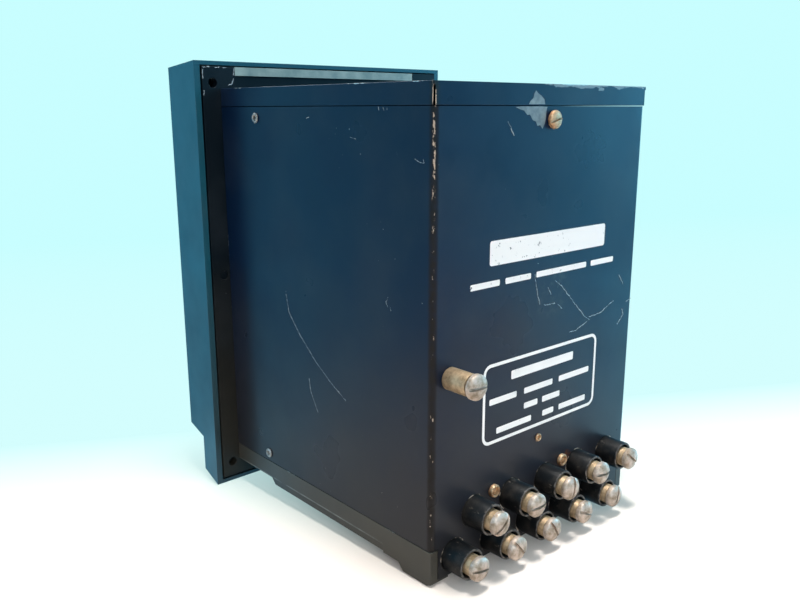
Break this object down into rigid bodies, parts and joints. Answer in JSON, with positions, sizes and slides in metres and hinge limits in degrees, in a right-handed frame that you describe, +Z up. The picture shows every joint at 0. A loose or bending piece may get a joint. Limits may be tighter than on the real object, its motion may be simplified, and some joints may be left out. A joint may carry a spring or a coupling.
{
  "type": "drawout protection relay",
  "caption": "Protection relay in a semi-flush drawout case: folded steel body, cast flange, stepped window cover and insulated rear terminals.",
  "frame": {"origin": "bottom centre of the whole relay's box", "axes": "+Z up, -Y towards the front cover, +Y towards the rear terminals"},
  "size_m": [0.1684, 0.2162, 0.2276],
  "materials": {
    "painted_steel": "satin black paint, chipped to bare metal along the folds",
    "black_moulding": "satin black",
    "cast_flange": "satin black paint",
    "pale_felt": "pale felt",
    "terminal_moulding": "satin black moulding",
    "plated_brass": "nickel-plated brass, worn warm",
    "tarnished_brass": "tarnished",
    "rivet_steel": "dull plating",
    "clear_window": "clear polished",
    "nickel_plate": "nickel plate",
    "black_knob": "satin",
    "zinc_sheet": "zinc plate",
    "panel_paint": "satin dark paint",
    "circuit_board": "green varnish",
    "core_iron": "varnished laminations",
    "relay_case": "smoked plastic"
  },
  "bodies": {
    "case": {"case_shell": "painted_steel", "top_cap": "painted_steel", "bottom_pan": "black_moulding", "mounting_flange": "cast_flange", "seal_strip": "pale_felt", "terminal_block": "terminal_moulding", "contact_block": "terminal_moulding", "terminal_sleeve_01": "plated_brass", "terminal_sleeve_02": "plated_brass", "terminal_sleeve_03": "plated_brass", "terminal_sleeve_04": "plated_brass", "terminal_sleeve_05": "plated_brass", "terminal_sleeve_06": "plated_brass", "terminal_sleeve_07": "plated_brass", "terminal_sleeve_08": "plated_brass", "terminal_sleeve_09": "plated_brass", "terminal_sleeve_10": "plated_brass", "terminal_screw_01": "plated_brass", "terminal_screw_02": "plated_brass", "terminal_screw_03": "plated_brass", "terminal_screw_04": "plated_brass", "terminal_screw_05": "plated_brass", "terminal_screw_06": "plated_brass", "terminal_screw_07": "plated_brass", "terminal_screw_08": "plated_brass", "terminal_screw_09": "plated_brass", "terminal_screw_10": "plated_brass", "ground_post": "plated_brass", "ground_screw": "plated_brass", "rear_screw": "tarnished_brass", "block_screw_1": "tarnished_brass", "block_screw_2": "tarnished_brass", "rear_rivet": "rivet_steel", "side_rivet_left_upper": "rivet_steel", "side_rivet_left_lower": "rivet_steel", "side_rivet_right_upper": "rivet_steel", "side_rivet_right_lower": "rivet_steel", "cover_stud_left": "nickel_plate", "cover_stud_right": "nickel_plate"},
    "cover": {"cover_frame": "black_moulding", "cover_window": "clear_window"},
    "nut_left": {"cover_nut_left": "nickel_plate"},
    "nut_right": {"cover_nut_right": "nickel_plate"},
    "reset": {"reset_plunger": "black_knob"},
    "chassis": {"chassis_frame": "zinc_sheet", "front_panel": "panel_paint", "dial_board": "circuit_board", "main_board": "circuit_board", "power_transformer": "core_iron", "output_relay": "relay_case"},
    "dial_one": {"dial_1": "black_knob"},
    "dial_two": {"dial_2": "black_knob"},
    "dial_three": {"dial_3": "black_knob"},
    "plug": {"connection_plug": "terminal_moulding"}
  },
  "joints": [
    {"name": "cover_slide", "type": "slide", "parent": "case", "child": "cover", "axis": [0, -1, 0], "range_m": [0, 0.2]},
    {"name": "chassis_slide", "type": "slide", "parent": "case", "child": "chassis", "axis": [0, -1, 0], "range_m": [0, 0.12]},
    {"name": "plug_pull", "type": "slide", "parent": "chassis", "child": "plug", "axis": [0, -1, 0], "range_m": [0, 0.03]},
    {"name": "nut_left_turn", "type": "hinge", "parent": "cover", "child": "nut_left", "pos_m": [-0.0736, -0.0991, 0.118], "axis": [0, -1, 0], "continuous": true},
    {"name": "nut_right_turn", "type": "hinge", "parent": "cover", "child": "nut_right", "pos_m": [0.0736, -0.0991, 0.118], "axis": [0, -1, 0], "continuous": true},
    {"name": "reset_push", "type": "slide", "parent": "cover", "child": "reset", "axis": [0, 1, 0], "range_m": [0, 0.005], "stiffness_N_per_m": 200, "springref_m": -0.003},
    {"name": "dial_one_turn", "type": "hinge", "parent": "chassis", "child": "dial_one", "pos_m": [-0.018, -0.0708, 0.15], "axis": [0, -1, 0], "range_deg": [-140, 140]},
    {"name": "dial_two_turn", "type": "hinge", "parent": "chassis", "child": "dial_two", "pos_m": [0.018, -0.0708, 0.15], "axis": [0, -1, 0], "range_deg": [-140, 140]},
    {"name": "dial_three_turn", "type": "hinge", "parent": "chassis", "child": "dial_three", "pos_m": [0, -0.0708, 0.114], "axis": [0, -1, 0], "range_deg": [-140, 140]}
  ],
  "couplings": [
    {"joint": "chassis_slide", "follows": "cover_slide", "ratio": 0.6},
    {"joint": "plug_pull", "follows": "cover_slide", "ratio": 0.15}
  ]
}
